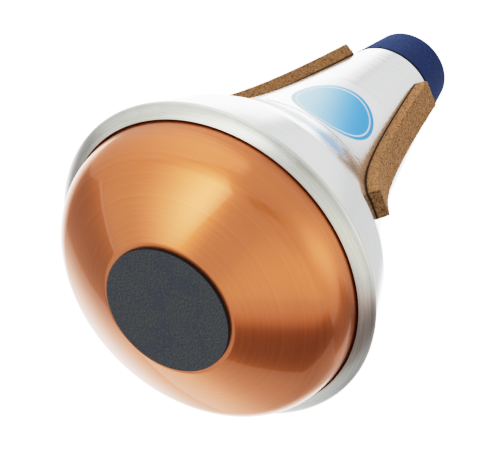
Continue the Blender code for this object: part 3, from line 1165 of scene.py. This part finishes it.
@dataclass
class CorkStrips:
    """Three cork strips, flat across, that follow the flare and are hollowed to fit it."""

    body: SpunBody
    width: float = 9.0 * MM
    thickness: float = 3.6 * MM
    length: float = 85.0 * MM
    gap: float = 0.3 * MM
    press: float = 0.03 * MM
    places: tuple[tuple[float, float], ...] = ((30.0, 6.4 * MM), (150.0, 4.2 * MM), (270.0, 2.5 * MM))
    spare: float = 1.4 * MM
    stations: int = 40
    voxel: float = 0.32 * MM
    former_bore: float = 1.0 * MM
    pitting: float = 0.10 * MM
    pit_size: float = 0.9 * MM
    pit_octaves: int = 3
    pit_contrast: float = 1.6
    pit_level: float = 0.35
    finish: PressedCork = PressedCork(
        name="pressed_cork", granule=0.42 * MM, light=(0.63, 0.375, 0.19), middle=(0.43, 0.222, 0.095),
        dark=(0.15, 0.060, 0.021), speck=(0.62, 0.28, 0.08), contact_shadow=(0.060, 0.028, 0.014))

    def build(self, number: int) -> Object:
        """Cut one strip.

        Args:
            number: Number of the strip, from 1.

        Returns:
            The closed solid.
        """
        direction, below_neck = self.places[number - 1]
        middle = self.gap + (self.thickness - self.spare) / 2
        course = self.body.outside().stations(below_neck, self.length, self.stations).offset(middle)
        strip = self.extrude_along(f"cork_{number}", course)
        former = Bench.sweep("flare_former", self.former_outline(), closed=False)
        Bench.finish(strip, [("BOOLEAN", {"object": former, "operation": "DIFFERENCE", "solver": "EXACT"})])
        bpy.data.objects.remove(former)
        strip.rotation_euler = (0, 0, math.radians(direction))
        Bench.only(strip)
        Bench.settle()
        return strip

    def extrude_along(self, name: str, course: Outline) -> Object:
        """Extrude the section of a strip along its middle line.

        Args:
            name: Name of the strip.
            course: Middle line of the section, in the plane of the X and Z axes.

        Returns:
            The closed solid.
        """
        (x, z), heading = course.points[0], self.heading(course, 0)
        upright = (0, heading - math.pi / 2, 0)
        strip = Bench.new(
            name, bpy.ops.mesh.primitive_plane_add, size=1, location=(x, 0, z), rotation=upright)
        strip.scale = (self.thickness + self.spare, self.width, 1)
        Bench.settle()
        with Bench.editing("FACE"):
            bpy.ops.mesh.select_all(action="SELECT")
            for index, (new_x, new_z) in enumerate(course.points[1:], start=1):
                turn = heading - self.heading(course, index)
                bpy.ops.mesh.extrude_region_move(TRANSFORM_OT_translate={"value": (new_x - x, 0, new_z - z)})
                bpy.ops.transform.rotate(value=turn, orient_axis="Y", center_override=(new_x, 0, new_z))
                x, z, heading = new_x, new_z, self.heading(course, index)
            bpy.ops.mesh.select_all(action="SELECT")
            bpy.ops.mesh.normals_make_consistent(inside=False)
        return strip

    @staticmethod
    def heading(course: Outline, index: int) -> float:
        """Find the way that a course runs at a point.

        Args:
            course: The course, in the plane of the X and Z axes.
            index: Number of the point, from 0.

        Returns:
            Its angle below the X axis, in radians.
        """
        points = course.points
        before, after = points[max(index - 1, 0)], points[min(index + 1, len(points) - 1)]
        return math.atan2(before[1] - after[1], after[0] - before[0])

    def former_outline(self) -> Outline:
        """Draw what a strip is hollowed with.

        Returns:
            The flare less what the glued strip presses in, closed towards the axis.
        """
        flare = self.body.outside().offset(-self.press)
        top, bottom = flare.points[0], flare.points[-1]
        return Outline([(self.former_bore, top[1])]) + flare + Outline([(self.former_bore, bottom[1])])

    def dress(self, strip: Object, number: int, material: Material) -> None:
        """Pit the surface of a strip, mark its foot and give it its finish.

        Args:
            strip: The strip.
            number: Number of the strip, from 1.
            material: Finish that the strips share.
        """
        pits = bpy.data.textures.new(f"cork_pits_{number}", "CLOUDS")
        pits.noise_scale = self.pit_size
        pits.noise_depth = self.pit_octaves
        pits.contrast = self.pit_contrast
        Bench.finish(strip, [
            ("REMESH", {"mode": "VOXEL", "voxel_size": self.voxel}),
            ("DISPLACE", {"texture": pits, "strength": -self.pitting, "mid_level": self.pit_level,
                          "texture_coords": "LOCAL"}),
        ])
        Bench.smooth(strip)
        self.mark_foot(strip)
        Piece.fit(strip, f"cork_strip_{number}", "cork", material)

    def mark_foot(self, strip: Object) -> None:
        """Write on each point of a strip how far it stands above the flare.

        Args:
            strip: The strip, in its place.
        """
        flare = sorted((height, radius) for radius, height in self.body.outside().points)
        heights = [height for height, _ in flare]
        stand = strip.data.attributes.new(PressedCork.STAND, "FLOAT", "POINT")
        for vertex, mark in zip(strip.data.vertices, stand.data):
            above = min(max(bisect.bisect(heights, vertex.co.z), 1), len(flare) - 1)
            (low, low_radius), (high, high_radius) = flare[above - 1], flare[above]
            lean = (high_radius - low_radius) / (high - low)
            radius = low_radius + (vertex.co.z - low) * lean
            mark.value = (math.hypot(vertex.co.x, vertex.co.y) - radius) / math.hypot(1, lean)


@dataclass
class LabelFilm(Piece):
    """Printed film that lies tight on the flare, beside the first cork strip."""

    NODE, SLOT = "label_film", "label_film"
    REACH = 1.8
    TRIM = 0.985
    UPWARD = 0.9

    body: SpunBody
    lift: float = 0.03 * MM
    thickness: float = 0.08 * MM
    below_neck: float = 34.8 * MM
    height: float = 41.8 * MM
    span: float = math.radians(61.0)
    corner: float = 4.0 * MM
    corner_steps: int = 8
    rows: int = 48
    print_middle: float = 86.3 * MM
    print_half_width: float = 14.0 * MM
    print_half_height: float = 16.8 * MM

    @property
    def finish(self) -> PrintedFilm:
        """Return the print, whose middle faces the way the film does."""
        return PrintedFilm(
            name="printed_film", facing=self.facing(), middle=self.print_middle,
            half_width=self.print_half_width, half_height=self.print_half_height,
            film=(0.93, 0.94, 0.95), ring=(0.92, 0.95, 0.98), deep=(0.13, 0.48, 1.0), pale=(0.55, 0.80, 1.0))

    def facing(self) -> float:
        """Return the direction that the middle of the film faces, in radians round the axis."""
        low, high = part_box("label_film")
        return math.atan2(low.y + high.y, low.x + high.x)

    def build(self) -> Object:
        """Turn a sleeve on the flare and cut the film out of it.

        Returns:
            The closed solid.
        """
        course = self.body.outside().stations(self.below_neck, self.height, self.rows)
        outer = course.offset(self.lift + self.thickness)
        inner = course.offset(self.lift)
        sleeve = Bench.sweep("film_label", outer + inner.backwards(), closed=True)
        cutter = self.cutter(course)
        Bench.finish(sleeve, [("BOOLEAN", {"object": cutter, "operation": "INTERSECT", "solver": "EXACT"})])
        bpy.data.objects.remove(cutter)
        return sleeve

    def cutter(self, course: Outline) -> Object:
        """Make a block with rounded corners that holds the film's part of the sleeve.

        Args:
            course: Course of the film down the flare.

        Returns:
            The block, in its place.
        """
        (top_radius, top), (radius, bottom) = course.points[0], course.points[-1]
        middle = (top + bottom) / 2
        half_width = radius * math.sin(self.span / 2)
        narrowing = top_radius / radius
        block = Bench.new(
            "film_cutter", bpy.ops.mesh.primitive_cube_add, size=1, location=(radius, 0, middle))
        block.scale = (radius * self.REACH, 2 * half_width, (top - bottom) * self.TRIM)
        Bench.settle()
        with Bench.editing("FACE"):
            bpy.ops.mesh.select_all(action="DESELECT")
        for face in block.data.polygons:
            face.select = face.normal.z > self.UPWARD
        with Bench.editing("FACE"):
            bpy.ops.transform.resize(value=(1, narrowing, 1), center_override=(radius, 0, top))
            bpy.ops.mesh.select_all(action="DESELECT")
        corners = block.data.vertices
        for edge in block.data.edges:
            first, second = (corners[index].co for index in edge.vertices)
            edge.select = abs(first.x - second.x) > radius
        with Bench.editing("EDGE"):
            bpy.ops.mesh.bevel(offset=self.corner, segments=self.corner_steps)
        block.rotation_euler = (0, 0, self.facing())
        Bench.only(block)
        Bench.settle()
        return block


class Setting(Enum):
    """Axes that a card's place is given in."""

    MUTE = "mute"
    CAMERA = "camera"


class Lie(Enum):
    """Directions of a card's width and height, named by the axes that they follow."""

    XY = ((1, 0, 0), (0, 1, 0))
    XZ = ((1, 0, 0), (0, 0, 1))
    YZ = ((0, 1, 0), (0, 0, 1))
    YZ_LEANING = ((0, 1, 0), (-0.2, 0, 1))


@dataclass(frozen=True)
class Card:
    """Flat card beside the set that only reflections see.

    Attributes:
        tone: Brightness of the card.
        edge_tone: Brightness that it fades to at its edges.
        fades: Shares of its size over which it fades at the start and end of its width, then of its height.
        glow: Brightness that its hot spot adds.
        glow_place: Place of the hot spot, as shares of the width and height.
        glow_size: Reach of the hot spot, as a share of the width.
        setting: Whose axes its centre and its lie are in.
    """

    name: str
    centre: tuple[float, float, float]
    lie: Lie
    width: float
    height: float
    tone: float
    edge_tone: float | None = None
    fades: tuple[float, float, float, float] = (0.2, 0.2, 0.2, 0.2)
    glow: float = 0.0
    glow_place: tuple[float, float] = (0.5, 0.5)
    glow_size: float = 0.5
    tint: Colour = (1.0, 1.0, 1.0)
    setting: Setting = Setting.CAMERA

    def material(self) -> Material:
        """Make the card's shining surface.

        Returns:
            The material.
        """
        graph = Graph.of_material(self.name)
        u, v, _ = graph.parts(graph.add("ShaderNodeTexCoord", output="UV"))
        tone: Number = self.tone
        if self.edge_tone is not None:
            left, right, low, high = self.fades
            inside = u.between(0, left) * (1 - u.between(1 - right, 1))
            inside = inside * v.between(0, low) * (1 - v.between(1 - high, 1))
            tone = self.edge_tone + (self.tone - self.edge_tone) * inside
        if self.glow:
            off_u = u - self.glow_place[0]
            off_v = (v - self.glow_place[1]) * (self.height / self.width)
            away = (off_u * off_u + off_v * off_v) ** 0.5
            tone = tone + (1 - away.between(0, self.glow_size)) * self.glow
        light = graph.add("ShaderNodeEmission", None, {"Color": (*self.tint, 1), "Strength": tone})
        graph.add("ShaderNodeOutputMaterial", None, {"Surface": light})
        return graph.owner


@dataclass
class Studio:
    """Camera, pale floor, soft light and the cards that the metal reflects."""

    CLIP_START, CLIP_END = 0.01, 200.0
    FLOOR_GRAIN_SCALE = 4.0
    FLOOR_GRAIN_TONE = 0.985
    FLOOR_ROUGHNESS = 0.9
    FLOOR_SPECULAR = 0.1
    FILL_RANGE = (-0.6, 0.4)
    COMBINED_CURVE = 3

    lens: float = 180.0
    camera_place: tuple[float, float, float] = (0.53625, 0.0, -0.50439)
    camera_right: tuple[float, float, float] = (0.50862, 0.70654, 0.49205)
    camera_up: tuple[float, float, float] = (0.50860, -0.70768, 0.49042)
    camera_back: tuple[float, float, float] = (0.69471, 0.00082, -0.71929)
    floor_height: float = -1.6
    floor_size: float = 60.0
    floor_tone: float = 0.9
    backdrop_tone: float = 3.2
    room_tone: float = 1.05
    fill_tone: float = 1.35
    low_fill_tone: float = 0.3
    key_place: tuple[float, float, float] = (-0.1, -0.9, 0.35)
    key_size: float = 0.6
    key_power: float = 7.0
    film_white: float = 2.5
    film_curve: tuple[tuple[float, float], ...] = (
        (0.03, 0.018), (0.08, 0.060), (0.15, 0.133), (0.27, 0.262), (0.45, 0.45), (0.70, 0.63),
        (1.0, 0.76), (1.5, 0.85), (2.0, 0.93))
    cards: tuple[Card, ...] = (
        Card("side_softbox", (0.02, -0.45, -0.87), Lie.XZ, 1.28, 1.25, 1.8,
             setting=Setting.MUTE, edge_tone=0.9, fades=(0.38, 0.0, 0.0, 0.0), tint=(1.0, 0.99, 0.92),
             glow=2.75, glow_place=(0.67, 0.38), glow_size=0.66),
        Card("upper_softbox", (0.38, -0.46, 0.10), Lie.XZ, 1.45, 0.70, 1.5,
             setting=Setting.MUTE, edge_tone=0.8, fades=(0.5, 0.2, 0.01, 0.3), tint=(1.0, 0.97, 0.93)),
        Card("right_softbox", (0.62, -0.05, 0.42), Lie.YZ_LEANING, 0.80, 0.95, 1.65,
             edge_tone=0.95, fades=(0.5, 0.5, 0.35, 0.45), tint=(1.0, 0.98, 0.92)),
        Card("front_softbox", (0.15, -0.60, 0.99), Lie.XZ, 1.1, 1.05, 1.17,
             edge_tone=1.0, fades=(0.25, 0.25, 0.04, 0.4), tint=(1.0, 0.97, 0.86)),
        Card("right_flag", (0.62, -0.38, -0.20), Lie.YZ, 0.60, 0.50, 0.35,
             edge_tone=0.7, fades=(0.05, 0.15, 0.1, 0.1), tint=(1.0, 0.86, 0.82)),
        Card("low_flag", (0.15, -0.60, 0.15), Lie.XZ, 1.0, 0.40, 0.23,
             edge_tone=0.95, fades=(0.1, 0.05, 0.04, 0.35), tint=(1.0, 0.77, 0.70)),
        Card("low_right_flag", (0.29, -0.60, -0.32), Lie.XZ, 0.56, 0.54, 0.5,
             edge_tone=0.7, fades=(0.3, 0.05, 0.1, 0.05)),
        Card("table", (-0.45, -0.60, -0.45), Lie.XZ, 1.1, 0.80, 1.6,
             edge_tone=0.7, fades=(0.1, 0.3, 0.2, 0.55)),
        Card("left_flag", (-0.60, -0.05, -0.30), Lie.YZ, 1.0, 0.46, 0.38,
             edge_tone=0.8, fades=(0.1, 0.2, 0.1, 0.06), tint=(1.0, 0.93, 0.92)),
        Card("left_strip", (-0.598, -0.05, -0.078), Lie.YZ, 0.9, 0.016, 1.3),
        Card("camera_shade", (0.17, 0.08, 0.95), Lie.XY, 0.70, 0.24, 0.4,
             edge_tone=0.85, fades=(0.02, 0.8, 0.2, 0.2), tint=(1.0, 0.93, 0.75)),
        Card("backdrop", (-0.24, 0.02, -0.70), Lie.XY, 1.20, 1.6, 2.5,
             edge_tone=0.8, fades=(0.5, 0.10, 0.45, 0.1)),
        Card("high_backdrop", (0.75, 0.80, -0.70), Lie.XY, 0.9, 0.8, 1.05,
             edge_tone=0.8),
        Card("right_wall", (0.62, 0.10, -0.70), Lie.XY, 0.5, 0.5, 0.85,
             edge_tone=0.78),
    )

    def axes(self) -> Matrix:
        """Return the camera's turn, with its right, up and back directions as columns."""
        return Matrix((self.camera_right, self.camera_up, self.camera_back)).transposed()

    def place_camera(self) -> None:
        """Put the camera where the photograph was taken from."""
        data = bpy.data.cameras.new("camera")
        data.lens = self.lens
        data.clip_start = self.CLIP_START
        data.clip_end = self.CLIP_END
        camera = bpy.data.objects.new("camera", data)
        bpy.context.scene.collection.objects.link(camera)
        camera.matrix_world = Matrix.Translation(self.camera_place) @ self.axes().to_4x4()
        bpy.context.scene.camera = camera

    def lay_floor(self) -> None:
        """Lay a plain pale floor far below the mute, where the camera alone sees it."""
        plane = bpy.ops.mesh.primitive_plane_add
        floor = Bench.new("floor", plane, size=self.floor_size, location=(0, 0, self.floor_height))
        graph = Graph.of_material("floor_paper")
        grain = graph.noise(graph.place(), self.FLOOR_GRAIN_SCALE, 2.0)
        colour = graph.mix(grain, (self.floor_tone,) * 3, (self.floor_tone * self.FLOOR_GRAIN_TONE,) * 3)
        floor.data.materials.append(graph.surface(
            Base_Color=colour, Roughness=self.FLOOR_ROUGHNESS, Specular_IOR_Level=self.FLOOR_SPECULAR))
        floor.visible_glossy = False
        floor.visible_diffuse = False

    def surround(self) -> None:
        """Surround the set: white to the camera, a dimmer room to metal, a graded fill to matt surfaces."""
        world = bpy.data.worlds.new("surround")
        graph = Graph(world)
        seen = graph.add("ShaderNodeLightPath", output="Is Camera Ray")
        matt = Link(graph, seen.socket.node.outputs["Is Diffuse Ray"])
        _, _, height = graph.parts(graph.add("ShaderNodeTexCoord", output="Generated"))
        fill = self.low_fill_tone + height.between(*self.FILL_RANGE) * (self.fill_tone - self.low_fill_tone)
        tone = self.room_tone + seen * (self.backdrop_tone - self.room_tone) + matt * (fill - self.room_tone)
        light = graph.add("ShaderNodeBackground", None, {"Strength": tone})
        graph.add("ShaderNodeOutputWorld", None, {"Surface": light})
        bpy.context.scene.world = world

    def hang_key(self) -> None:
        """Hang the soft key light, which only matt surfaces see."""
        data = bpy.data.lights.new("key", "AREA")
        data.size = self.key_size
        data.energy = self.key_power
        key = bpy.data.objects.new("key", data)
        bpy.context.scene.collection.objects.link(key)
        place = Vector(self.key_place)
        key.matrix_world = Matrix.Translation(place) @ place.to_track_quat("Z", "Y").to_matrix().to_4x4()
        key.visible_camera = False
        key.visible_glossy = False

    def put_card(self, card: Card) -> None:
        """Stand a card beside the set.

        Args:
            card: The card.
        """
        turn = self.axes() if card.setting is Setting.CAMERA else Matrix.Identity(3)
        across, along = ((turn @ Vector(way)).normalized() for way in card.lie.value)
        plane = Bench.new(card.name, bpy.ops.mesh.primitive_plane_add, size=1)
        pose = Matrix((across, along, across.cross(along))).transposed().to_4x4()
        size = Matrix.Diagonal((card.width, card.height, 1, 1))
        plane.data.transform(Matrix.Translation(turn @ Vector(card.centre)) @ pose @ size)
        plane.data.materials.append(card.material())
        plane.visible_camera = False
        plane.visible_shadow = False
        plane.visible_diffuse = False
        plane.visible_transmission = False

    def develop(self) -> None:
        """Give the picture a film's soft shoulder, with the surround as its white."""
        settings = bpy.context.scene.view_settings
        settings.view_transform = "Standard"
        settings.look = "None"
        settings.use_curve_mapping = True
        mapping = settings.curve_mapping
        mapping.white_level = (self.film_white,) * 3
        curve = mapping.curves[self.COMBINED_CURVE]
        for light, shown in self.film_curve:
            curve.points.new(light / self.film_white, shown)
        mapping.update()

    def set_up(self) -> None:
        """Build the studio."""
        self.place_camera()
        self.lay_floor()
        self.surround()
        self.hang_key()
        for card in self.cards:
            self.put_card(card)
        self.develop()
        log.info("studio with %d cards", len(self.cards))


def main() -> None:
    """Build the studio and every piece of the mute."""
    logging.basicConfig(level=logging.INFO, format="%(name)s: %(message)s")
    Studio().set_up()
    datums = Datums.read()
    body = SpunBody(datums)
    turned = [kind(datums) for kind in (CopperEnd, TurnedRing, EndPad, TipCollar)]
    for part in (body, *turned, LabelFilm(body)):
        part.dress(part.build())
    corks = CorkStrips(body)
    cork_finish = corks.finish.material()
    for number in range(1, len(corks.places) + 1):
        corks.dress(corks.build(number), number, cork_finish)


if __name__ == "__main__":
    main()
